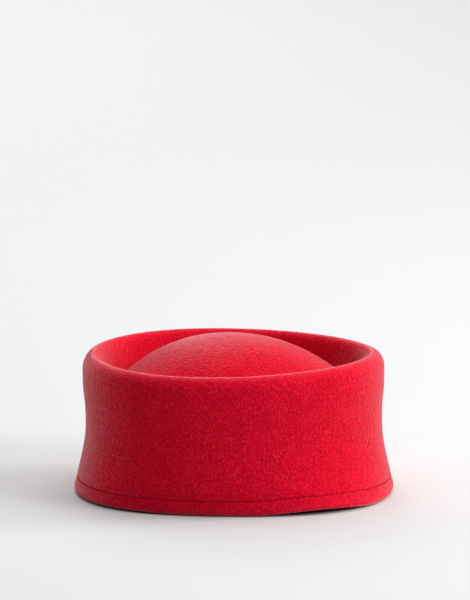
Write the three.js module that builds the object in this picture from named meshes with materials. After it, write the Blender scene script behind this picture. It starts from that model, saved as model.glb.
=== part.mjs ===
// A structured felt beret in millimetres, +Z up, standing on its lower edge with the origin at
// the middle of its footprint. +X is the wearer's forehead and -X the back of the head.
// One blocked piece of wool felt makes the dome, the sunken ring round it, the rolled rim, the
// tall wall and the turned-up hem. The hem holds a wire that keeps the oval, and a grosgrain
// sweatband with its labels is stitched inside it.

import * as THREE from 'three';

// Driving dimensions. A radius is the mean radius of the oval.
const SEGMENTS = 48; // facets round the oval
const FELT = 2.4; // thickness of the felt

const HEM_RADIUS = 100; // widest point of the lower edge
const HEM_ROLL = 3.6; // outer radius of the fold at the lower edge
const HEM_FLAT = 1.3; // width of the ring that the hat stands on
const HEM_TUCK = 2.8; // radius of the fold's inner corner
const HEM_TOP = 14.4; // height of the hem's raw edge
const HEM_SLACK = 0.4; // room between the turned-up hem and the wall

const WAIST = new THREE.Vector2(92.3, 44.8); // narrowest point of the wall
const SHOULDER = new THREE.Vector2(93.9, 82.4); // where the wall starts to roll inwards
const CREST = new THREE.Vector2(86.4, 92.4); // highest line of the rim
const RIM_FOOT = new THREE.Vector2(81.3, 86.2); // where the roll becomes the inner wall
const WALL_FLARE = 0.218; // outward slope of the wall where it meets the fold

const MOAT_RADIUS = 74.5; // middle of the sunken ring
const MOAT_CENTRE = 67; // height of the centre of the ring's round floor
const MOAT_ROLL = 4.6; // radius of that floor
const DOME_TOP = 104; // height of the dome
const DOME_CURVE = 95.1; // radius of the dome's curvature
const DOME_EDGE = 63.9; // radius where the dome starts to steepen
const DOME_SHIFT = -2.6; // the dome's top lies behind the middle

const OVAL = 5.67; // half the difference between half length and half width
const RIM_EGG = 4.9; // how much broader the rim's oval is at the back of the head
const HEM_EGG = -4; // the lower edge is broader at the forehead
const FLAT_SIDES = 6; // how far the long sides of the lower edge lie inside the oval
const HAND = { side: 1.3, saddle: 0.24, twist: -0.27 }; // hand-blocked rise of the rim

const STITCH_HEIGHT = 10.3;
const THREAD = 0.28; // radius of the sewing thread
const GROOVE = { width: 1.8, floor: 0.9, depth: 0.75 }; // dent that the tight stitches pull

const RIBBON = 0.8; // thickness of the sweatband
const BAND_LOW = new THREE.Vector2(92, 4); // outer lower edge of the sweatband
const BAND_HIGH = new THREE.Vector2(89.5, 29); // its outer upper edge, free of the wall
const LAP_STEPS = 2; // facets by which the sweatband's ends lap
const LAP_LIFT = RIBBON + 0.35;
const JOIN = THREE.MathUtils.degToRad(142.5); // where the sweatband's ends meet
const BACK = Math.PI; // centre back

const WIRE = 0.55; // radius of the covered wire
const WIRE_CENTRE = new THREE.Vector2(96.15, 4.05);
const JOINER = { bore: 0.7, outside: 0.95 }; // radii of the crimped sleeve

const BRAND_LABEL = { length: 46, bottom: 13.5, top: 26.5, thick: 0.5 };
const CARE_LABEL = { width: 19, bottom: 15, top: 47, thick: 0.35, fold: 0.4, beside: 0.16 };
const TACK_INSET = 2; // from the label's end to the stitches that hold it
const LAP_STITCH = { bottom: 14.8, top: 27.5 };
const BOW = 0.45; // room that an upright stitch needs where the cloth under it is bowed
const CLEAR = 0.3; // gap between pieces that touch

const STEP = (2 * Math.PI) / SEGMENTS;
const v2 = (x, y) => new THREE.Vector2(x, y);

// The oval: a point of mean radius, angle and height, where angle 0 is the forehead.
// Outside the sunken ring each line lies parallel to the next; inside it they shrink to a point.
// Above the waist the oval is egg-shaped. Below it, it turns into the flat-sided one that the
// wired lower edge has.
function place(radius, angle, height) {
  const reach = Math.min(radius / MOAT_RADIUS, 1);
  const low = THREE.MathUtils.clamp(1 - height / WAIST.y, 0, 1) ** 2;
  const x = (radius + OVAL * reach) * Math.cos(angle) + DOME_SHIFT * (1 - reach ** 2);
  const egg = THREE.MathUtils.lerp(RIM_EGG, HEM_EGG, low) * Math.sin(2 * angle);
  const sides = FLAT_SIDES * low * Math.sin(3 * angle);
  const y = (radius - OVAL * reach) * Math.sin(angle) + (sides - egg) * reach ** 2;
  const rise =
    HAND.side * Math.sin(angle) +
    HAND.saddle * Math.cos(2 * angle) +
    HAND.twist * Math.sin(2 * angle);
  return new THREE.Vector3(x, y, height + rise * reach * (height / CREST.y));
}

// Moves every vertex of a geometry to where `where` says.
function bend(geometry, where) {
  const position = geometry.getAttribute('position');
  const vertex = new THREE.Vector3();
  for (let i = 0; i < position.count; i++) {
    vertex.fromBufferAttribute(position, i);
    const { x, y, z } = where(vertex);
    position.setXYZ(i, x, y, z);
  }
  return geometry;
}

// A whole turn of a section given as points of radius and height.
function ring(section) {
  const lathe = new THREE.LatheGeometry(section, SEGMENTS);
  return bend(lathe, (v) => place(Math.hypot(v.x, v.z), Math.atan2(-v.x, v.z), v.y));
}

// Part of a turn of a section, closed at both ends. lift(share) moves it inwards on the way.
function strip(section, from, to, steps, lift = () => 0) {
  const bar = new THREE.ExtrudeGeometry(new THREE.Shape(section), {
    depth: 1,
    steps,
    bevelEnabled: false,
  });
  return bend(bar, (v) => place(v.x - lift(v.z), to + (from - to) * v.z, v.y));
}

// A round section, for wire and thread.
function round(centre, radius, sides = 6) {
  return new THREE.EllipseCurve(centre.x, centre.y, radius, radius)
    .getPoints(sides)
    .slice(0, sides);
}

// Curves joined end to end, each with its own number of pieces.
function join(...curves) {
  const points = [];
  for (const [curve, pieces] of curves) {
    const next = curve.getPoints(pieces);
    points.push(...(points.length ? next.slice(1) : next));
  }
  return points;
}

// The radius of a line of points at a height, where the line runs steadily up or down.
function radiusAt(points, height) {
  for (let i = 1; i < points.length; i++) {
    const [a, b] = [points[i - 1], points[i]];
    if ((a.y - height) * (b.y - height) <= 0 && a.y !== b.y) {
      return a.x + ((height - a.y) / (b.y - a.y)) * (b.x - a.x);
    }
  }
  throw new Error(`no point at height ${height}`);
}

// The line shifted sideways by a distance, to the right of its direction for a positive one.
function offset(points, distance) {
  return points.map((point, i) => {
    const before = points[Math.max(i - 1, 0)];
    const after = points[Math.min(i + 1, points.length - 1)];
    const along = after.clone().sub(before).normalize();
    return v2(point.x + along.y * distance, point.y - along.x * distance);
  });
}

// ---- Felt body: visible side from the top of the dome to the raw edge of the hem ----

function domeAndMoat() {
  const centre = DOME_TOP - DOME_CURVE;
  const start = Math.acos(DOME_EDGE / DOME_CURVE);
  const dome = new THREE.EllipseCurve(
    0, centre, DOME_CURVE, DOME_CURVE, Math.PI / 2, start, true,
  );
  const edge = v2(DOME_EDGE, centre + DOME_CURVE * Math.sin(start));
  const moatIn = v2(MOAT_RADIUS - MOAT_ROLL, MOAT_CENTRE);
  const moatOut = v2(MOAT_RADIUS + MOAT_ROLL, MOAT_CENTRE);
  const foot = new THREE.CubicBezierCurve(
    edge,
    v2(edge.x + 4 * Math.sin(start), edge.y - 4 * Math.cos(start)),
    v2(moatIn.x, moatIn.y + 4.5),
    moatIn,
  );
  const floor = new THREE.EllipseCurve(
    MOAT_RADIUS, MOAT_CENTRE, MOAT_ROLL, MOAT_ROLL, Math.PI, 2 * Math.PI, false,
  );
  const innerWall = new THREE.CubicBezierCurve(
    moatOut,
    v2(moatOut.x, moatOut.y + 6),
    v2(RIM_FOOT.x, RIM_FOOT.y - 6),
    RIM_FOOT,
  );
  return join([dome, 7], [foot, 3], [floor, 5], [innerWall, 2]);
}

function rimAndWall() {
  const rise = new THREE.EllipseCurve(
    CREST.x, RIM_FOOT.y, CREST.x - RIM_FOOT.x, CREST.y - RIM_FOOT.y, Math.PI, Math.PI / 2, true,
  );
  const fall = new THREE.EllipseCurve(
    CREST.x, SHOULDER.y, SHOULDER.x - CREST.x, CREST.y - SHOULDER.y, Math.PI / 2, 0, true,
  );
  const upper = new THREE.CubicBezierCurve(
    SHOULDER,
    v2(SHOULDER.x, THREE.MathUtils.lerp(SHOULDER.y, WAIST.y, 1 / 3)),
    v2(WAIST.x, THREE.MathUtils.lerp(WAIST.y, SHOULDER.y, 1 / 3)),
    WAIST,
  );
  const third = (WAIST.y - HEM_ROLL) / 3;
  const lower = new THREE.CubicBezierCurve(
    WAIST,
    v2(WAIST.x, WAIST.y - third),
    v2(HEM_RADIUS - WALL_FLARE * third, HEM_ROLL + third),
    v2(HEM_RADIUS, HEM_ROLL),
  );
  return { rim: join([rise, 3], [fall, 4]), wall: join([upper, 3], [lower, 6]) };
}

function fold() {
  const outer = new THREE.EllipseCurve(
    HEM_RADIUS - HEM_ROLL, HEM_ROLL, HEM_ROLL, HEM_ROLL, 0, -Math.PI / 2, true,
  );
  const tuckX = HEM_RADIUS - HEM_ROLL - HEM_FLAT;
  const inner = new THREE.EllipseCurve(
    tuckX, HEM_TUCK, HEM_TUCK, HEM_TUCK, -Math.PI / 2, -Math.PI, true,
  );
  return [...outer.getPoints(3), ...inner.getPoints(3)];
}

// The inside face of the turned-up hem, which follows the wall two layers of felt away, and
// swells inwards over the wire at its foot.
function hemFace(wall) {
  const hem = [[6.5, 1.1], [STITCH_HEIGHT, 0], [HEM_TOP, 0]];
  return hem.map(([z, swell]) => v2(radiusAt(wall, z) - 2 * FELT - HEM_SLACK - swell, z));
}

function withGroove(wall) {
  const { width, floor, depth } = GROOVE;
  const spots = [[width / 2, 0], [floor / 2, depth], [-floor / 2, depth], [-width / 2, 0]];
  const cut = spots.map(([up, deep]) => {
    const z = STITCH_HEIGHT + up;
    return v2(radiusAt(wall, z) - deep, z);
  });
  const above = wall.filter((p) => p.y > STITCH_HEIGHT + width / 2 + 0.3);
  const below = wall.filter((p) => p.y < STITCH_HEIGHT - width / 2 - 0.3);
  return [...above, ...cut, ...below];
}

const { rim, wall } = rimAndWall();
const hem = hemFace(wall);

function feltSection() {
  const top = [...domeAndMoat(), ...rim.slice(1), ...wall.slice(1, -1)];
  const foot = [...fold(), ...hem];
  const shown = [...withGroove([...top, ...foot.slice(0, 1)]), ...foot.slice(1)];
  const hidden = offset([...top, ...foot], FELT);
  hidden[0].x = 0;
  hidden[hidden.length - 1].y = HEM_TOP;
  return [...shown, ...hidden.reverse()];
}

// ---- Sweatband ----

// The sweatband's outer face, which lies on the hem and stands free above it.
const bandFace = [
  BAND_LOW,
  v2(hem[1].x - CLEAR, STITCH_HEIGHT),
  v2(hem[2].x - CLEAR - 0.1, HEM_TOP),
  BAND_HIGH,
];

function bandRadius(height) {
  return radiusAt(bandFace, height) - RIBBON;
}

function bandSection() {
  const inner = bandFace.map((p) => v2(p.x - RIBBON, p.y)).reverse();
  return [...bandFace, ...inner];
}

const BAND_STEPS = SEGMENTS + LAP_STEPS;
const bandStart = JOIN - (LAP_STEPS / 2) * STEP;
const bandEnd = bandStart + BAND_STEPS * STEP;

// The end of the band that laps over its start lies one ribbon further in, and eases in before.
function lapLift(steps) {
  return (share) => {
    const before = Math.round(share * steps) - LAP_STEPS;
    return LAP_LIFT * THREE.MathUtils.clamp(1 - before / 2, 0, 1);
  };
}

function sweatband() {
  return strip(bandSection(), bandStart, bandEnd, BAND_STEPS, lapLift(BAND_STEPS));
}

// The bobbin thread of the hem seam, along the sweatband and over its lap.
function bobbinThread() {
  const centre = v2(bandRadius(STITCH_HEIGHT) - THREAD - 0.1, STITCH_HEIGHT);
  const from = bandStart + LAP_STEPS * STEP;
  return strip(round(centre, THREAD), from, bandEnd, SEGMENTS, lapLift(SEGMENTS));
}

function needleThread() {
  const centre = v2(radiusAt(wall, STITCH_HEIGHT) - THREAD - 0.12, STITCH_HEIGHT);
  const section = round(centre, THREAD);
  return ring([...section, section[0]].reverse());
}

// ---- Wire in the fold ----

function hemWire() {
  const halfGap = 0.2 / HEM_RADIUS;
  return strip(round(WIRE_CENTRE, WIRE), BACK + halfGap, BACK + 2 * Math.PI - halfGap, SEGMENTS);
}

function wireJoiner() {
  const shape = new THREE.Shape(round(WIRE_CENTRE, JOINER.outside, 10));
  shape.holes.push(new THREE.Path(round(WIRE_CENTRE, JOINER.bore, 10).reverse()));
  const tube = new THREE.ExtrudeGeometry(shape, { depth: 1, steps: 2, bevelEnabled: false });
  return bend(tube, (v) => place(v.x, BACK + STEP - 2 * STEP * v.z, v.y));
}

// ---- Labels, with the threads that hold them ----

function brandLabel() {
  const { length, bottom, top, thick } = BRAND_LABEL;
  const face = [bottom, HEM_TOP, top].map((z) => v2(bandRadius(z) - CLEAR, z));
  const section = [...face, ...face.map((p) => v2(p.x - thick, p.y)).reverse()];
  const half = length / 2 / HEM_RADIUS;
  return strip(section, BACK - half, BACK + half, 8);
}

// A short upright bar of thread at an angle, lying against the face at a distance inside it.
function uprightThread(angle, bottom, top, inside) {
  const ends = [bottom, top].map((z) => place(bandRadius(z) - inside, angle, z));
  const along = ends[1].clone().sub(ends[0]);
  const bar = new THREE.CylinderGeometry(THREAD, THREAD, along.length(), 8);
  const turn = new THREE.Quaternion().setFromUnitVectors(
    new THREE.Vector3(0, 1, 0),
    along.clone().normalize(),
  );
  bar.applyQuaternion(turn);
  const middle = ends[0].add(ends[1]).multiplyScalar(0.5);
  return bar.translate(middle.x, middle.y, middle.z);
}

function labelTack(side) {
  const angle = BACK + (side * (BRAND_LABEL.length / 2 - TACK_INSET)) / HEM_RADIUS;
  const inside = CLEAR + BRAND_LABEL.thick + THREAD + BOW;
  return uprightThread(angle, BRAND_LABEL.bottom + 1.5, BRAND_LABEL.top - 1, inside);
}

function lapStitch() {
  const angle = JOIN + (LAP_STEPS / 2 - 0.45) * STEP;
  return uprightThread(angle, LAP_STITCH.bottom, LAP_STITCH.top, LAP_LIFT + THREAD + BOW);
}

// A strip of satin folded over at the top, standing between the sweatband and the wall.
function careLabel() {
  const { width, bottom, top, thick, fold: gap, beside } = CARE_LABEL;
  const lean = (z) => radiusAt(wall, z) - FELT - 2 * CLEAR;
  const heights = [bottom, 22, 29, 38, top];
  const back = heights.map((z) => v2(lean(z) - (z < 22 ? 0.9 : 0), z));
  const sheet = (inside) => back.map((p) => v2(p.x - inside, p.y));
  const outline = [
    ...sheet(0),
    ...sheet(2 * thick + gap).reverse(),
    ...sheet(thick + gap).slice(0, -1),
    ...sheet(thick).slice(0, -1).reverse(),
  ];
  const half = width / 2 / HEM_RADIUS;
  return strip(outline, JOIN + beside - half, JOIN + beside + half, 4);
}

// ---- The assembly ----

function material(colour, roughness, metalness = 0) {
  return new THREE.MeshStandardMaterial({ color: colour, roughness, metalness });
}

const felt = material(0xc8102e, 0.95);
const thread = material(0x6e0a1c, 0.6);
const grosgrain = material(0x8e1024, 0.7);
const satin = material(0xf2efe9, 0.45);
const woven = material(0x1c1a1b, 0.6);
const steel = material(0xb9bcc0, 0.35, 1);
const cotton = material(0xe6e1d6, 0.9);

const hat = new THREE.Group();

function add(name, geometry, finish) {
  const mesh = new THREE.Mesh(geometry, finish);
  mesh.name = name;
  hat.add(mesh);
}

add('felt_body', ring(feltSection()), felt);
add('hem_needle_thread', needleThread(), thread);
add('hem_bobbin_thread', bobbinThread(), thread);
add('hem_wire', hemWire(), cotton);
add('wire_joiner', wireJoiner(), steel);
add('sweatband', sweatband(), grosgrain);
add('sweatband_lap_stitch', lapStitch(), thread);
add('brand_label', brandLabel(), woven);
add('label_tack_left', labelTack(1), thread);
add('label_tack_right', labelTack(-1), thread);
add('care_label', careLabel(), satin);

export default hat;
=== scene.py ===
"""A structured red felt beret standing on a pale floor, in soft light from the right.

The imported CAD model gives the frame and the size. Every piece is rebuilt here as a fine mesh on
the same oval: the felt with its rounded rim and turned-up hem, each stitch of the hem seam, the
ribbed sweatband, the blank labels and the wire in the fold.
"""

import math

import bpy
import numpy as np
from mathutils import Matrix, Vector, noise


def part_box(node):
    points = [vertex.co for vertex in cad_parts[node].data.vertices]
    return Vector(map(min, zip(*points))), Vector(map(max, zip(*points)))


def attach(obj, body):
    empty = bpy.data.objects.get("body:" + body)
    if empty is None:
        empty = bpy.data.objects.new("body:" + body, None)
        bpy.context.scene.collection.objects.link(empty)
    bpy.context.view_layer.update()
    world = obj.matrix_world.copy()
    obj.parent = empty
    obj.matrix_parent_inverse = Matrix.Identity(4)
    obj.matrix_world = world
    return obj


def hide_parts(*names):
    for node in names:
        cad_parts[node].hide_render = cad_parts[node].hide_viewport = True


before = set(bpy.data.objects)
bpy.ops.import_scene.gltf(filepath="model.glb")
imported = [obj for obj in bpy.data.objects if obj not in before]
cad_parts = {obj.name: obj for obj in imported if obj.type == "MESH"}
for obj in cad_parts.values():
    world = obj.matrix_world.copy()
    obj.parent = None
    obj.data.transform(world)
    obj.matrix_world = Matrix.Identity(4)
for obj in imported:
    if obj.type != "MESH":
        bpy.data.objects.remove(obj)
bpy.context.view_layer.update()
noise.seed_set(5)

# ---- Driving dimensions, in millimetres of the model ----

HEM_RADIUS = 100.0
OVAL = 5.67  # added to the radius along the head, and taken off across it
RIM_EGG, HEM_EGG = 4.9, -4.0  # how much broader the oval is at the back of the head
FLAT_SIDES = 6.0  # how far the long sides of the lower edge lie inside the oval
felt_low, felt_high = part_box("felt_body")
MM = (felt_high[0] - felt_low[0]) / (2 * (HEM_RADIUS + OVAL))  # one of them, in metres

# Points of the felt's section: (radius, height).
WAIST = (92.3, 44.8)
SHOULDER = (93.9, 82.4)
CREST = (86.4, 92.4)
RIM_FOOT = (81.3, 86.2)

FELT = 2.4
WALL_FLARE = 0.218  # outwards for each millimetre down, at the hem
HEM_ROLL = 3.6
HEM_FLAT = 1.3
HEM_TUCK = 2.8
HEM_TOP = 14.4
HEM_SLACK = 0.4  # air between the wall and the felt turned up inside it

MOAT_RADIUS = 74.5
MOAT_CENTRE = 67.0
MOAT_ROLL = 4.6
DOME_TOP = 104.0
DOME_CURVE = 95.1
DOME_EDGE = 63.9
DOME_SHIFT = -2.6

# How far the rim rises out of level: towards one side, and twice round the head.
RISE_SIDE, RISE_SADDLE, RISE_TWIST = 1.3, 0.24, -0.27

STITCHES = 150
COLUMNS = 5 * STITCHES  # of the felt's mesh, so that each needle hole has one
STITCH_HEIGHT = 10.3
SEAM_VALLEY, SEAM_GROOVE = 0.30, 0.5  # the broad and the narrow dent that the seam pulls in
SEAM_SLACK = 0.12  # from the groove to the thread that lies in it
NEEDLE_HOLE = 0.45
THREAD = 0.22
THREAD_SIDES = 6
BACK = math.pi
JOIN = math.radians(142.5)  # where the sweatband's ends lap

# Where the lower edge stands off the floor: middle and half width in degrees, and height.
LIFTS = ((-54, 34, 3.2), (-139, 34, 0.8))
LIFT_FADE = 34.0
WOBBLE = 0.35  # unevenness of hand-blocked felt
WOBBLE_LENGTH = 34.0
WOBBLE_FADE = 20.0
GRAIN = 0.09
GRAIN_LENGTH = 1.8

RIBBON = 0.6
RIBBON_BOTTOM, RIBBON_TOP = 4.0, 29.0
RIBBON_SLACK = 0.25  # how far its free upper edge waves in and out
SELVEDGE, SELVEDGE_WIDTH = 0.12, 0.8
RIBS = 530
RIB_DEPTH = 0.07
LAP = math.radians(15)
LAP_LIFT = 1.15

LABEL_LENGTH, LABEL_BOTTOM, LABEL_TOP, LABEL = 46.0, 13.5, 26.5, 0.45
LABEL_GAP = 0.35
LABEL_BOW = 0.35
LABEL_END = 0.93  # the share of its half length past which it is sewn down
LABEL_STEP = 0.15
TACK_INSET, TACK_BOTTOM, TACK_TOP = 2.0, 15.0, 25.5
CARE_WIDTH, CARE_BOTTOM, CARE_TOP, CARE = 19.0, 15.0, 47.0, 0.32
CARE_GAP = 0.4
CARE_SLACK = 0.7
CARE_ANGLE = JOIN + 0.16

WIRE = 0.55
WINDING = 0.04
WIRE_CENTRE = (96.15, 4.05)
WIRE_GAP = 0.2  # from the centre back to each of its ends
SLEEVE_OUTSIDE, SLEEVE_BORE = 0.95, 0.7
SLEEVE_HALF = math.radians(7.5)

# ---- Colours, linear ----

FELT_RED = (0.60, 0.0025, 0.018)
FELT_CLOUD = (0.66, 0.0040, 0.023)
# painted shade: a darker red laid into the hollows of the felt's grain
FELT_PIT_SHADE = (0.43, 0.0008, 0.010)
FELT_FLECK = (0.95, 0.035, 0.085)
THREAD_RED = (0.40, 0.0004, 0.010)
THREAD_LIGHT = (0.52, 0.0012, 0.016)
RIBBON_RED = (0.23, 0.004, 0.014)
RIBBON_LIGHT = (0.32, 0.010, 0.024)
RIBBON_DARK = (0.13, 0.002, 0.008)
LABEL_BLACK = (0.018, 0.015, 0.016)
LABEL_GREY = (0.045, 0.04, 0.042)
SATIN_WHITE = (0.82, 0.79, 0.73)
SATIN_SHADE = (0.66, 0.62, 0.56)
COTTON = (0.74, 0.70, 0.62)
COTTON_SHADE = (0.55, 0.50, 0.42)
STEEL = (0.56, 0.57, 0.60)
STEEL_DULL = (0.36, 0.37, 0.39)
FLOOR_WHITE = (0.597, 0.605, 0.607)


# ---- Curves of a section: arrays of (radius, height) ----


def arc(centre, radii, start, end, pieces):
    """Part of an ellipse from one angle to another, in degrees."""
    t = np.radians(np.linspace(start, end, pieces + 1))
    return np.stack([centre[0] + radii[0] * np.cos(t), centre[1] + radii[1] * np.sin(t)], 1)


def bezier(a, b, c, d, pieces):
    """A cubic curve from a to d, pulled towards b and c."""
    t = np.linspace(0, 1, pieces + 1)[:, None]
    a, b, c, d = (np.array(p, float) for p in (a, b, c, d))
    return a * (1 - t) ** 3 + 3 * b * t * (1 - t) ** 2 + 3 * c * t**2 * (1 - t) + d * t**3


def chain(*curves):
    """The curves joined end to end, without their doubled points."""
    return np.concatenate([curves[0]] + [c[1:] for c in curves[1:]])


def offset(line, distance):
    """The line moved sideways, to the right of its direction."""
    along = np.gradient(line, axis=0)
    along /= np.linalg.norm(along, axis=1, keepdims=True)
    return line + distance * np.stack([along[:, 1], -along[:, 0]], 1)


def smooth(share):
    """Eases a share that runs from 0 to 1 in and out."""
    return share * share * (3 - 2 * share)


def fall_off(distance, width):
    """1 at no distance, and less and less over a width."""
    return np.exp(-((distance / width) ** 2))


def dome_and_moat():
    """From the dome's middle over its edge, through the sunken ring and up to the rim."""
    centre = DOME_TOP - DOME_CURVE
    start = math.degrees(math.acos(DOME_EDGE / DOME_CURVE))
    slope = math.radians(start)
    edge = (DOME_EDGE, centre + DOME_CURVE * math.sin(slope))
    inner = (MOAT_RADIUS - MOAT_ROLL, MOAT_CENTRE)
    outer = (MOAT_RADIUS + MOAT_ROLL, MOAT_CENTRE)
    dome = arc((0, centre), (DOME_CURVE, DOME_CURVE), 90, start, 12)
    steep = (edge[0] + 4 * math.sin(slope), edge[1] - 4 * math.cos(slope))
    foot = bezier(edge, steep, (inner[0], inner[1] + 4.5), inner, 5)
    floor = arc((MOAT_RADIUS, MOAT_CENTRE), (MOAT_ROLL, MOAT_ROLL), 180, 360, 7)
    wall = bezier(outer, (outer[0], outer[1] + 6), (RIM_FOOT[0], RIM_FOOT[1] - 6), RIM_FOOT, 5)
    return chain(dome, foot, floor, wall)


def rim():
    """The rolled rim, from its inner foot over the crest to the shoulder."""
    rise = (CREST[0] - RIM_FOOT[0], CREST[1] - RIM_FOOT[1])
    fall = (SHOULDER[0] - CREST[0], CREST[1] - SHOULDER[1])
    return chain(
        arc((CREST[0], RIM_FOOT[1]), rise, 180, 90, 5),
        arc((CREST[0], SHOULDER[1]), fall, 90, 0, 7),
    )


def wall_line():
    """The waisted wall from the shoulder down to the hem's roll."""
    third = (WAIST[1] - HEM_ROLL) / 3
    drop = (SHOULDER[1] - WAIST[1]) / 3
    upper = bezier(
        SHOULDER,
        (SHOULDER[0], SHOULDER[1] - 2 * drop),
        (WAIST[0], WAIST[1] + 2 * drop),
        WAIST,
        40,
    )
    lower = bezier(
        WAIST,
        (WAIST[0], WAIST[1] - third),
        (HEM_RADIUS - WALL_FLARE * third, HEM_ROLL + third),
        (HEM_RADIUS, HEM_ROLL),
        80,
    )
    return chain(upper, lower)


WALL = wall_line()


def wall_radius(height):
    """The radius of the wall's outside at a height, or at each of some heights."""
    upwards = WALL[::-1]
    return np.interp(height, upwards[:, 1], upwards[:, 0])


def turned_up_radius(height):
    """The radius of the turned-up hem's inner face, two layers of felt in from the wall."""
    return wall_radius(height) - 2 * FELT - HEM_SLACK


def fold():
    """Round the lower edge, from the wall to the inside of the hem."""
    outer = arc((HEM_RADIUS - HEM_ROLL, HEM_ROLL), (HEM_ROLL, HEM_ROLL), 0, -90, 5)
    centre = (HEM_RADIUS - HEM_ROLL - HEM_FLAT, HEM_TUCK)
    return np.concatenate([outer, arc(centre, (HEM_TUCK, HEM_TUCK), -90, -180, 4)])


def hem_face():
    """The inner face of the turned-up hem, which swells inwards just above the fold."""
    heights = np.array([5.2, 7.4, STITCH_HEIGHT, 12.4, HEM_TOP])
    swell = np.array([1.5, 0.7, 0, 0, 0])
    return np.stack([turned_up_radius(heights) - swell, heights], 1)


# ---- The oval ----


def place(radius, angle, height):
    """Metres from model millimetres: the oval, its hand-blocked unevenness and the lifted edge."""
    radius, angle, height = np.broadcast_arrays(radius, angle, height)
    reach = np.minimum(radius / MOAT_RADIUS, 1)
    low = np.clip(1 - height / WAIST[1], 0, 1) ** 2
    x = (radius + OVAL * reach) * np.cos(angle) + DOME_SHIFT * (1 - reach**2)
    egg = (RIM_EGG + (HEM_EGG - RIM_EGG) * low) * np.sin(2 * angle)
    sides = FLAT_SIDES * low * np.sin(3 * angle)
    y = (radius - OVAL * reach) * np.sin(angle) + (sides - egg) * reach**2
    rise = (
        RISE_SIDE * np.sin(angle)
        + RISE_SADDLE * np.cos(2 * angle)
        + RISE_TWIST * np.sin(2 * angle)
    )
    z = height + rise * reach * height / CREST[1]
    z = z + lift(angle) * np.clip(1 - height / LIFT_FADE, 0, 1) ** 2 * reach
    points = np.stack([x, y, z], -1).astype(float)
    return (points + wobble(points)) * MM


def lift(angle):
    """How far the lower edge stands off the floor at an angle."""
    total = 0
    for middle, spread, height in LIFTS:
        away = (angle - math.radians(middle) + math.pi) % (2 * math.pi) - math.pi
        share = np.clip(np.abs(away) / math.radians(spread), 0, 1)
        total = total + height * np.cos(share * math.pi / 2) ** 2
    return total


def wobble(points):
    """A slow random shift, which fades out at the floor so that the edge rests on it."""
    flat = points.reshape(-1, 3)
    shift = np.array([noise.noise_vector(p) for p in map(Vector, flat / WOBBLE_LENGTH)])
    shift *= WOBBLE * np.clip(flat[:, 2:] / WOBBLE_FADE, 0, 1)
    return shift.reshape(points.shape)


# ---- Meshes ----


def mesh_object(name, vertices, faces):
    """A smooth piece that rides on the hat's one body."""
    mesh = bpy.data.meshes.new(name)
    mesh.from_pydata(np.asarray(vertices).tolist(), [], faces)
    mesh.validate()
    mesh.shade_smooth()
    piece = bpy.data.objects.new(name, mesh)
    bpy.context.scene.collection.objects.link(piece)
    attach(piece, "root")
    return piece


def tube_faces(rows, columns, first=0):
    """Quads of a grid of points whose columns close on themselves."""
    faces = []
    for i in range(rows - 1):
        for j in range(columns):
            k = (j + 1) % columns
            low, high = first + i * columns, first + (i + 1) * columns
            faces.append((low + j, low + k, high + k, high + j))
    return faces


def caps(rows, columns, first=0):
    """The faces that close such a grid's first and last row."""
    last = first + (rows - 1) * columns
    return [
        tuple(first + j for j in reversed(range(columns))),
        tuple(last + j for j in range(columns)),
    ]


def shell(name, section, angles, dent):
    """A whole turn of a section that starts and ends on the axis. dent moves its points inwards."""
    ring = section[1:-1]
    points = place(ring[:, :1] - dent[1:-1], angles[None, :], ring[:, 1:])
    poles = place(np.zeros(2), np.zeros(2), section[[0, -1], 1])
    columns, rows = len(angles), len(ring)
    faces = tube_faces(rows, columns)
    top, bottom = rows * columns, rows * columns + 1
    for j in range(columns):
        k = (j + 1) % columns
        faces.append((top, k, j))
        faces.append((bottom, (rows - 1) * columns + j, (rows - 1) * columns + k))
    return mesh_object(name, np.concatenate([points.reshape(-1, 3), poles]), faces)


def strip(name, section, angles):
    """Part of a turn of a closed section, capped. The section may differ at each angle."""
    section = np.broadcast_to(section, (len(angles), *section.shape[-2:]))
    points = place(section[..., 0], angles[:, None], section[..., 1])
    rows, columns = points.shape[:2]
    return mesh_object(name, points.reshape(-1, 3), tube_faces(rows, columns) + caps(rows, columns))


def threads(name, paths, radius):
    """Stitches: each path's points are (radius, angle, height), swept with a round section."""
    rings, faces = [], []
    around = np.arange(THREAD_SIDES) * 2 * math.pi / THREAD_SIDES
    for path in paths:
        along = place(path[:, 0], path[:, 1], path[:, 2]) / MM
        first = len(rings) * THREAD_SIDES
        faces += tube_faces(len(along), THREAD_SIDES, first)
        faces += caps(len(along), THREAD_SIDES, first)
        rings += [sweep_ring(along, i, around, radius) for i in range(len(along))]
    return mesh_object(name, np.concatenate(rings) * MM, faces)


def sweep_ring(path, i, around, radius):
    """A ring of points round a path at one of its points, narrower at the path's ends."""
    ahead = path[min(i + 1, len(path) - 1)] - path[max(i - 1, 0)]
    ahead /= np.linalg.norm(ahead)
    outward = np.cross(ahead, (0, 0, 1) if abs(ahead[2]) < 0.7 else (path[i][1], -path[i][0], 0))
    outward /= np.linalg.norm(outward)
    upward = np.cross(outward, ahead)
    size = radius * (0.6 if i in (0, len(path) - 1) else 1)
    return path[i] + size * (np.outer(np.cos(around), outward) + np.outer(np.sin(around), upward))


def face_outwards(piece):
    """Turns the faces outwards, by the sign of the volume that they enclose."""
    mesh = piece.data
    mesh.calc_loop_triangles()
    corners = np.empty(3 * len(mesh.loop_triangles), dtype=np.int32)
    mesh.loop_triangles.foreach_get("vertices", corners)
    points = np.empty(3 * len(mesh.vertices), dtype=np.float32)
    mesh.vertices.foreach_get("co", points)
    a, b, c = points.reshape(-1, 3)[corners.reshape(-1, 3)].transpose(1, 0, 2)
    if (a * np.cross(b, c)).sum() < 0:
        mesh.flip_normals()


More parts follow.
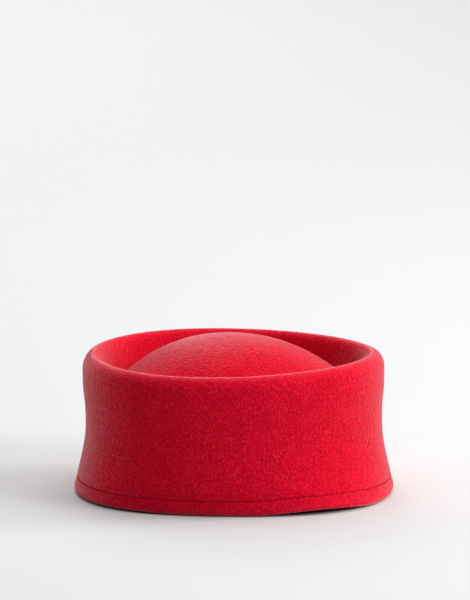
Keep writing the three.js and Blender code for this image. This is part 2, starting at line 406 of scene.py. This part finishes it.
def roughen(piece, depth, length):
    """Moves each vertex along its normal by a small random amount."""
    mesh = piece.data
    points = np.empty(3 * len(mesh.vertices), dtype=np.float32)
    mesh.vertices.foreach_get("co", points)
    normals = np.empty_like(points)
    mesh.vertex_normals.foreach_get("vector", normals)
    points, normals = points.reshape(-1, 3), normals.reshape(-1, 3)
    grain = map(Vector, points / (length * MM))
    heights = np.array([noise.fractal(p, 1.0, 2.0, 3) for p in grain])
    points += normals * (heights * depth * MM)[:, None]
    mesh.vertices.foreach_set("co", points.ravel())
    mesh.update()


def dress(piece, look, node):
    """Turns a piece's faces outwards, gives it its material, and hides the CAD node that it stands
    for.
    """
    face_outwards(piece)
    piece.data.materials.append(look)
    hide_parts(node)


# ---- Materials ----


class Look:
    """A Principled material, with short calls that add and join its nodes."""

    def __init__(self, name, colour, roughness, **sockets):
        self.material = bpy.data.materials.new(name)
        self.material.use_nodes = True
        self.tree = self.material.node_tree
        self.shader = self.tree.nodes["Principled BSDF"]
        self.shader.inputs["Base Color"].default_value = (*colour, 1)
        self.shader.inputs["Roughness"].default_value = roughness
        for socket, value in sockets.items():
            self.shader.inputs[socket.replace("_", " ")].default_value = value
        self.coordinates = self.node("TexCoord").outputs["Object"]

    def join(self, source, target):
        self.tree.links.new(source, target)

    def node(self, kind, **settings):
        made = self.tree.nodes.new("ShaderNode" + kind)
        for key, value in settings.items():
            setattr(made, key, value)
        return made

    def noise(self, size_mm, detail=2.0, distortion=0.0, stretch=(1, 1, 1)):
        """Noise whose features are about size_mm across, and longer where stretch is under 1."""
        scaled = self.node("Mapping")
        scaled.inputs["Scale"].default_value = stretch
        texture = self.node("TexNoise")
        texture.inputs["Scale"].default_value = 1 / (size_mm * MM)
        texture.inputs["Detail"].default_value = detail
        texture.inputs["Distortion"].default_value = distortion
        self.join(self.coordinates, scaled.inputs["Vector"])
        self.join(scaled.outputs["Vector"], texture.inputs["Vector"])
        return texture.outputs["Fac"]

    def ramp(self, source, low, high):
        """0 where the source is under low, 1 over high."""
        made = self.node("MapRange", interpolation_type="SMOOTHSTEP")
        made.inputs["From Min"].default_value = low
        made.inputs["From Max"].default_value = high
        self.join(source, made.inputs["Value"])
        return made.outputs["Result"]

    def math(self, operation, a, b):
        made = self.node("Math", operation=operation)
        for socket, value in zip(made.inputs, (a, b)):
            if isinstance(value, (int, float)):
                socket.default_value = value
            else:
                self.join(value, socket)
        return made.outputs[0]

    def tint(self, below, factor, colour):
        """A colour laid over another, by a factor."""
        mix = self.node("Mix", data_type="RGBA")
        self.join(factor, mix.inputs["Factor"])
        if isinstance(below, tuple):
            mix.inputs["A"].default_value = (*below, 1)
        else:
            self.join(below, mix.inputs["A"])
        mix.inputs["B"].default_value = (*colour, 1)
        return mix.outputs["Result"]

    def paint(self, colour):
        self.join(colour, self.shader.inputs["Base Color"])

    def relief(self, height, depth_mm):
        """A bump map in which a height of 1 looks depth_mm high."""
        bump = self.node("Bump")
        bump.inputs["Distance"].default_value = depth_mm * MM
        bump.inputs["Strength"].default_value = 1.0
        self.join(height, bump.inputs["Height"])
        self.join(bump.outputs["Normal"], self.shader.inputs["Normal"])


def felt_look():
    """Pressed wool: short matted fibres, cloudy dye, painted shade in the grain's hollows, and a
    pale nap that shows at grazing angles.
    """
    look = Look("wool_felt", FELT_RED, 0.95, Sheen_Weight=1.0, Sheen_Roughness=0.28,
                Sheen_Tint=(1.0, 0.66, 0.70, 1), Specular_IOR_Level=0.01)
    clouds = look.ramp(look.noise(11.0, 3.0), 0.3, 0.7)
    grain = look.noise(1.2, 0.8, 0.3, (1, 1, 0.8))
    fibres = look.noise(0.6, 1.0, 1.0, (1, 1, 0.7))
    # painted shade: darker where the grain, which is also the bump's height, is low
    pit_shade = look.ramp(grain, 0.58, 0.36)
    flecks = look.ramp(grain, 0.50, 0.72)
    worn = look.node("Attribute", attribute_name="wear").outputs["Fac"]
    colour = look.tint(FELT_RED, clouds, FELT_CLOUD)
    colour = look.tint(colour, look.math("MULTIPLY", pit_shade, 0.35), FELT_PIT_SHADE)
    colour = look.tint(colour, look.math("MULTIPLY", flecks, 0.24), FELT_FLECK)
    rubbed = look.math("MULTIPLY", look.math("MULTIPLY", worn, grain), 0.34)
    look.paint(look.tint(colour, rubbed, FELT_FLECK))
    look.relief(look.math("ADD", grain, look.math("MULTIPLY", fibres, 0.4)), 0.7)
    return look.material


def thread_look():
    """Twisted sewing thread, with paler plies."""
    look = Look("hem_thread_red", THREAD_RED, 0.8, Specular_IOR_Level=0.04)
    plies = look.noise(0.22, 1.0, 0.6, (1, 1, 0.4))
    look.paint(look.tint(THREAD_RED, look.ramp(plies, 0.35, 0.7), THREAD_LIGHT))
    look.relief(plies, 0.12)
    return look.material


def ribbon_look():
    """Grosgrain: the ribs are in the mesh, and fine warp threads cross them."""
    look = Look("grosgrain_ribbon", RIBBON_RED, 0.6, Sheen_Weight=0.25, Sheen_Roughness=0.35,
                Specular_IOR_Level=0.3)
    warp = look.noise(0.24, 1.0, 0.0, (0.3, 0.3, 1.6))
    dirt = look.ramp(look.noise(9.0, 3.0), 0.35, 0.75)
    colour = look.tint(RIBBON_RED, look.ramp(warp, 0.35, 0.7), RIBBON_LIGHT)
    look.paint(look.tint(colour, look.math("MULTIPLY", dirt, 0.35), RIBBON_DARK))
    look.relief(warp, 0.08)
    return look.material


def satin_look(name, colour, shade, rib_mm):
    """A woven label's face: long floats with a soft gloss, and a faint cross rib."""
    look = Look(name, colour, 0.42, Sheen_Weight=0.15, Specular_IOR_Level=0.45)
    floats = look.noise(rib_mm, 1.0, 0.0, (0.25, 0.25, 2.0))
    look.paint(look.tint(colour, look.ramp(floats, 0.3, 0.75), shade))
    look.relief(floats, 0.05)
    return look.material


def winding_look():
    """The cotton wound round the millinery wire."""
    look = Look("cotton_winding", COTTON, 0.9, Sheen_Weight=0.3)
    wound = look.noise(0.3, 2.0, 0.5)
    look.paint(look.tint(COTTON, look.ramp(wound, 0.4, 0.7), COTTON_SHADE))
    look.relief(wound, 0.08)
    return look.material


def sleeve_look():
    """Dull steel with fine scratches along the sleeve."""
    look = Look("crimped_steel_sleeve", STEEL, 0.34, Metallic=1.0)
    scratches = look.noise(0.5, 4.0, 0.3, (1, 0.12, 1))
    look.paint(look.tint(STEEL, look.ramp(scratches, 0.35, 0.75), STEEL_DULL))
    look.relief(scratches, 0.02)
    return look.material


# ---- Felt ----


def felt_section():
    """The felt's whole section, and how many of its points are on the outer line.

    The outer line runs from the dome's middle over the rim, down the wall and up the hem's inner
    face. The inner line runs back, one thickness of felt away, with about half as many points.
    """
    crown = chain(dome_and_moat(), rim())
    upper = np.linspace(SHOULDER[1], 17, 15)[1:]
    above_seam = np.linspace(15, 12.6, 3)
    seam = STITCH_HEIGHT + np.linspace(1.7, -1.7, 11)
    below_seam = np.linspace(7.4, HEM_ROLL + 1, 3)
    heights = np.concatenate([upper, above_seam, seam, below_seam])
    wall = np.stack([wall_radius(heights), heights], 1)
    outer = np.concatenate([crown, wall, fold(), hem_face()])
    fewer = np.array([*upper[::2], above_seam[1], STITCH_HEIGHT, below_seam[0]])
    wall = np.stack([wall_radius(fewer), fewer], 1)
    inner = offset(np.concatenate([crown[::2], wall, fold()[::2], hem_face()]), FELT)
    inner[0, 0] = 0
    inner[-1, 1] = HEM_TOP
    return np.concatenate([outer, inner[::-1]]), len(outer)


def seam_dent(section, outer_count):
    """The dent that tight stitches pull into the wall, deepest at the needle's holes."""
    from_seam = section[:, 1] - STITCH_HEIGHT
    outside = np.zeros(len(section))
    outside[:outer_count] = section[:outer_count, 0] > wall_radius(STITCH_HEIGHT) - 4
    valley = SEAM_VALLEY * fall_off(from_seam, 2.2) + SEAM_GROOVE * fall_off(from_seam, 0.55)
    hole = NEEDLE_HOLE * fall_off(from_seam, 0.5)
    at_hole = (np.arange(COLUMNS) % (COLUMNS // STITCHES) == 0).astype(float)
    return outside[:, None] * (valley[:, None] + hole[:, None] * at_hole)


def wear(section):
    """1 on the rim's crest and the lower edge, where a hat is held and set down."""
    crest = fall_off(np.linalg.norm(section - CREST, axis=1), 5.0)
    edge = fall_off(section[:, 1] - 1.5, 3.0) * (section[:, 0] > HEM_RADIUS - 6)
    return np.maximum(crest, edge)


def felt_body():
    """The whole hat of felt. Its material reads the wear from an attribute of the mesh."""
    section, outer_count = felt_section()
    angles = np.arange(COLUMNS) * 2 * math.pi / COLUMNS
    piece = shell("felt_shell", section, angles, seam_dent(section, outer_count))
    rows = wear(section)
    worn = piece.data.attributes.new("wear", "FLOAT", "POINT")
    worn.data.foreach_set("value", np.concatenate([np.repeat(rows[1:-1], COLUMNS), rows[[0, -1]]]))
    dress(piece, felt_look(), "felt_body")
    roughen(piece, GRAIN, GRAIN_LENGTH)


# ---- Hem seam ----


def lockstitches(radius, dive, seed):
    """One seam's stitches: each rises from its needle hole, lies along the groove and dives."""
    chance = np.random.default_rng(seed)
    step = 2 * math.pi / STITCHES
    share = np.linspace(0, 1, 9)
    arch = np.sin(math.pi * share) ** 0.45
    paths = []
    for i in range(STITCHES):
        drift = chance.uniform(-0.1, 0.1, 2)
        angles = (i + 0.03 + 0.94 * share) * step
        heights = STITCH_HEIGHT + drift[0] + (drift[1] - drift[0]) * share
        paths.append(np.stack([radius(angles) + dive * (arch - 1), angles, heights], 1))
    return paths


def needle_thread():
    """The seam outside, where the thread lies in its groove."""
    groove = wall_radius(STITCH_HEIGHT) - SEAM_VALLEY - SEAM_GROOVE
    lying = groove + THREAD + SEAM_SLACK
    paths = lockstitches(lambda angles: np.full_like(angles, lying), dive=1.0, seed=3)
    dress(threads("hem_topstitch", paths, THREAD), thread_look(), "hem_needle_thread")


def bobbin_thread():
    """The same seam from inside, lying on the sweatband and riding over its lap."""
    lying = band_radius(STITCH_HEIGHT) - RIBBON - THREAD - 0.1
    paths = lockstitches(lambda angles: lying - lap_lift(angles), dive=-0.7, seed=4)
    piece = threads("hem_bobbin_stitch", paths, THREAD)
    dress(piece, thread_look(), "hem_bobbin_thread")


# ---- Sweatband ----


def band_line():
    """The sweatband's outer face: on the hem below, free above it."""
    return np.array([
        (92.0, RIBBON_BOTTOM),
        (turned_up_radius(STITCH_HEIGHT) - 0.3, STITCH_HEIGHT),
        (turned_up_radius(HEM_TOP) - 0.4, HEM_TOP),
        (89.5, RIBBON_TOP),
    ])


BAND = band_line()


def band_radius(height):
    """The radius of the sweatband's outer face at a height."""
    return np.interp(height, BAND[:, 1], BAND[:, 0])


def lap_lift(angles):
    """How far in the sweatband lies at an angle: its end laps over its start."""
    after = (angles - (JOIN + LAP / 2) + math.pi) % (2 * math.pi) - math.pi
    share = np.clip((after + 2 * LAP) / LAP, 0, 1) * (after <= 0)
    return LAP_LIFT * smooth(share)


def sweatband():
    """A ribbed ribbon with thicker selvedges, which goes once round and laps over its start."""
    whole = 2 * math.pi + LAP
    turns = np.linspace(0, whole, 4 * RIBS + 1)
    heights = np.linspace(RIBBON_BOTTOM, RIBBON_TOP, 8)
    from_edge = np.minimum(heights - RIBBON_BOTTOM, RIBBON_TOP - heights)
    selvedge = SELVEDGE * fall_off(from_edge, SELVEDGE_WIDTH)
    outer = np.stack([band_radius(heights) + selvedge, heights], 1)
    inner = np.stack([band_radius(heights) - RIBBON - selvedge, heights], 1)[::-1]
    section = np.repeat(np.concatenate([outer, inner])[None], len(turns), 0)
    ribs = RIB_DEPTH * np.cos(np.arange(len(turns)) * math.pi / 2)
    slack = RIBBON_SLACK * np.array([noise.noise(Vector((t * 9, 0, 3))) for t in turns])
    free = np.clip((section[..., 1] - HEM_TOP) / (RIBBON_TOP - HEM_TOP), 0, 1)
    section[..., 0] += ribs[:, None] + slack[:, None] * free
    over = np.clip((turns - (2 * math.pi - 2 * LAP)) / LAP, 0, 1)
    section[..., 0] -= LAP_LIFT * smooth(over)[:, None]
    piece = strip("sweatband_ribbon", section, JOIN - LAP / 2 + turns)
    dress(piece, ribbon_look(), "sweatband")


def upright_stitches(name, angle, bottom, top, inside, node):
    """Four stitches one above the other, at a depth inside the sweatband's inner face."""
    edges = np.linspace(bottom, top, 5)
    paths = []
    for low, high in zip(edges, edges[1:]):
        share = np.linspace(0, 1, 7)
        heights = low + (0.06 + 0.88 * share) * (high - low)
        arch = np.sin(math.pi * share) ** 0.5
        radii = band_radius(heights) - RIBBON - inside + 0.7 * (1 - arch)
        paths.append(np.stack([radii, np.full(7, angle), heights], 1))
    dress(threads(name, paths, THREAD), thread_look(), node)


def lap_stitch():
    """The stitches that close the sweatband's lap, above the hem."""
    upright_stitches("lap_stitches", JOIN + math.radians(4.1), 14.8, 27.5,
                     LAP_LIFT + THREAD + 0.2, "sweatband_lap_stitch")


# ---- Labels ----


def brand_label():
    """A blank woven label, sewn on at its two ends and slightly bowed between them."""
    half = LABEL_LENGTH / 2 / HEM_RADIUS
    angles = np.linspace(BACK - half, BACK + half, 61)
    heights = np.linspace(LABEL_BOTTOM, LABEL_TOP, 9)
    face = band_radius(heights) - RIBBON - LABEL_GAP
    outer = np.stack([face, heights], 1)
    inner = np.stack([face - LABEL, heights], 1)[::-1]
    section = np.repeat(np.concatenate([outer, inner])[None], len(angles), 0)
    along = np.linspace(-1, 1, len(angles))[:, None]
    section[..., 0] -= LABEL_BOW * (1 - along**2)
    section[..., 0] -= LABEL_STEP * (np.abs(along) > LABEL_END)
    piece = strip("blank_woven_label", section, angles)
    look = satin_look("woven_black", LABEL_BLACK, LABEL_GREY, 0.35)
    dress(piece, look, "brand_label")


def label_tacks():
    """The stitches that hold the woven label's two ends."""
    beside = (LABEL_LENGTH / 2 - TACK_INSET) / HEM_RADIUS
    for side, angle in (("left", BACK + beside), ("right", BACK - beside)):
        upright_stitches("label_stitches_" + side, angle, TACK_BOTTOM, TACK_TOP, 1.2 + THREAD,
                         "label_tack_" + side)


def care_label():
    """A satin strip folded over at the top, held between the sweatband and the wall."""
    heights = np.linspace(CARE_BOTTOM, CARE_TOP - 1, 12)
    tuck = 0.9 * np.clip((22 - heights) / 7, 0, 1)
    leaf = wall_radius(heights) - FELT - CARE_SLACK - CARE / 2 - tuck
    apart = CARE + CARE_GAP
    bend = arc((leaf[-1] - apart / 2, heights[-1]), (apart / 2, 0.8), 0, 180, 8)
    path = chain(
        np.stack([leaf, heights], 1),
        bend,
        np.stack([leaf - apart, heights], 1)[::-1],
    )
    section = np.concatenate([offset(path, CARE / 2), offset(path, -CARE / 2)[::-1]])
    half = CARE_WIDTH / 2 / HEM_RADIUS
    angles = np.linspace(CARE_ANGLE - half, CARE_ANGLE + half, 17)
    piece = strip("folded_satin_label", section, angles)
    look = satin_look("satin_white", SATIN_WHITE, SATIN_SHADE, 0.4)
    dress(piece, look, "care_label")


# ---- Wire in the fold ----


def hem_wire():
    """Millinery wire whose cotton winding stands out in turns. Its ends meet at the back."""
    half_gap = WIRE_GAP / HEM_RADIUS
    angles = np.linspace(BACK + half_gap, BACK + 2 * math.pi - half_gap, 1441)
    around = np.linspace(0, 2 * math.pi, 9)[:-1]
    winding = np.cos(around[None, :] - np.arange(len(angles))[:, None] * math.pi / 3)
    radius = WIRE - WINDING + WINDING * winding
    section = np.stack([
        WIRE_CENTRE[0] + radius * np.cos(around), WIRE_CENTRE[1] + radius * np.sin(around)
    ], -1)
    dress(strip("wound_hem_wire", section, angles), winding_look(), "hem_wire")


def wire_joiner():
    """A rolled sleeve, open along its seam and crimped in two places."""
    angles = np.linspace(BACK - SLEEVE_HALF, BACK + SLEEVE_HALF, 41)
    along = np.linspace(-1, 1, len(angles))
    crimp = 1 - 0.1 * fall_off(np.abs(along) - 0.55, 0.08)
    outside = arc((0, 0), (SLEEVE_OUTSIDE, SLEEVE_OUTSIDE), 100, 440, 16)
    inside = arc((0, 0), (SLEEVE_BORE, SLEEVE_BORE), 440, 100, 16)
    outline = np.concatenate([outside, inside])
    section = np.array(WIRE_CENTRE) + outline[None] * crimp[:, None, None]
    piece = strip("wire_sleeve", section, angles)
    dress(piece, sleeve_look(), "wire_joiner")


# ---- Floor, light and camera ----

FOCUS = Vector((0, 0, 43.3)) * MM
DISTANCE = 3608 * MM
LOOK_DOWN = math.radians(11.325)
LENS = 327.2
AIM_UP = math.radians(1.311)  # the beret stands below the picture's middle
AIM_RIGHT = math.radians(0.021)
ROLL = math.radians(-0.266)


def camera():
    """Looks at the hat's middle from far away with a long lens."""
    data = bpy.data.cameras.new("camera")
    data.lens, data.sensor_width = LENS, 36
    data.clip_start, data.clip_end = 0.1, 60
    eye = bpy.data.objects.new("camera", data)
    bpy.context.scene.collection.objects.link(eye)
    back = Vector((0, -math.cos(LOOK_DOWN), math.sin(LOOK_DOWN)))
    aside = Matrix.Rotation(-AIM_RIGHT, 4, "Z")
    tilt = Matrix.Rotation(math.pi / 2 - LOOK_DOWN + AIM_UP, 4, "X")
    roll = Matrix.Rotation(ROLL, 4, "Z")
    eye.matrix_world = Matrix.Translation(FOCUS + back * DISTANCE) @ aside @ tilt @ roll
    bpy.context.scene.camera = eye


def area_light(name, place_at, size, power, target=(0, 0, 0.05)):
    """A square soft light that faces a target."""
    data = bpy.data.lights.new(name, "AREA")
    data.size, data.energy = size, power
    lamp = bpy.data.objects.new(name, data)
    lamp.location = place_at
    lamp.rotation_euler = (Vector(target) - Vector(place_at)).to_track_quat("-Z", "Y").to_euler()
    bpy.context.scene.collection.objects.link(lamp)


def backdrop():
    """A white sweep, in metres: a floor that curves up into the wall behind."""
    front, bend, radius, top, half_width = -4.5, 3.2, 1.6, 5.0, 6.0
    floor = np.array([(front, 0.0), (bend, 0.0)])
    curve = arc((bend, radius), (radius, radius), -90, 0, 24)
    wall = np.array([(bend + radius, radius), (bend + radius, top)])
    line = chain(floor, curve, wall)
    vertices = [(x, y, z) for x in (-half_width, half_width) for y, z in line]
    count = len(line)
    faces = [(i, count + i, count + i + 1, i + 1) for i in range(count - 1)]
    mesh = bpy.data.meshes.new("backdrop")
    mesh.from_pydata(vertices, [], faces)
    mesh.shade_smooth()
    sweep = bpy.data.objects.new("backdrop", mesh)
    bpy.context.scene.collection.objects.link(sweep)
    look = Look("white_paper", FLOOR_WHITE, 0.8, Specular_IOR_Level=0.2)
    mesh.materials.append(look.material)


def lighting():
    """Two lamps on the right give the shape, and broad soft ones light the rest."""
    world = bpy.data.worlds.new("studio")
    world.use_nodes = True
    sky = world.node_tree.nodes["Background"]
    sky.inputs["Color"].default_value = (0.96, 0.98, 1.0, 1)
    sky.inputs["Strength"].default_value = 0.09
    bpy.context.scene.world = world
    area_light("key_right", (2.0, 0.3, 0.9), 0.9, 31)
    area_light("key_front", (1.7, -0.9, 1.0), 0.9, 26)
    area_light("top_soft", (0.2, 0.5, 2.2), 1.8, 20)
    area_light("overhead", (-0.3, 0.8, 2.6), 5.0, 66, target=(-0.3, 0.8, 0))
    area_light("back_soft", (-0.6, 3.0, 1.9), 2.0, 44, target=(-0.5, 2.8, 0))
    area_light("left_soft", (-2.4, 1.1, 0.9), 1.2, 6)
    bpy.context.scene.view_settings.view_transform = "Standard"


# ---- The beret ----

camera()
lighting()
backdrop()
felt_body()
needle_thread()
sweatband()
bobbin_thread()
lap_stitch()
brand_label()
label_tacks()
care_label()
hem_wire()
wire_joiner()
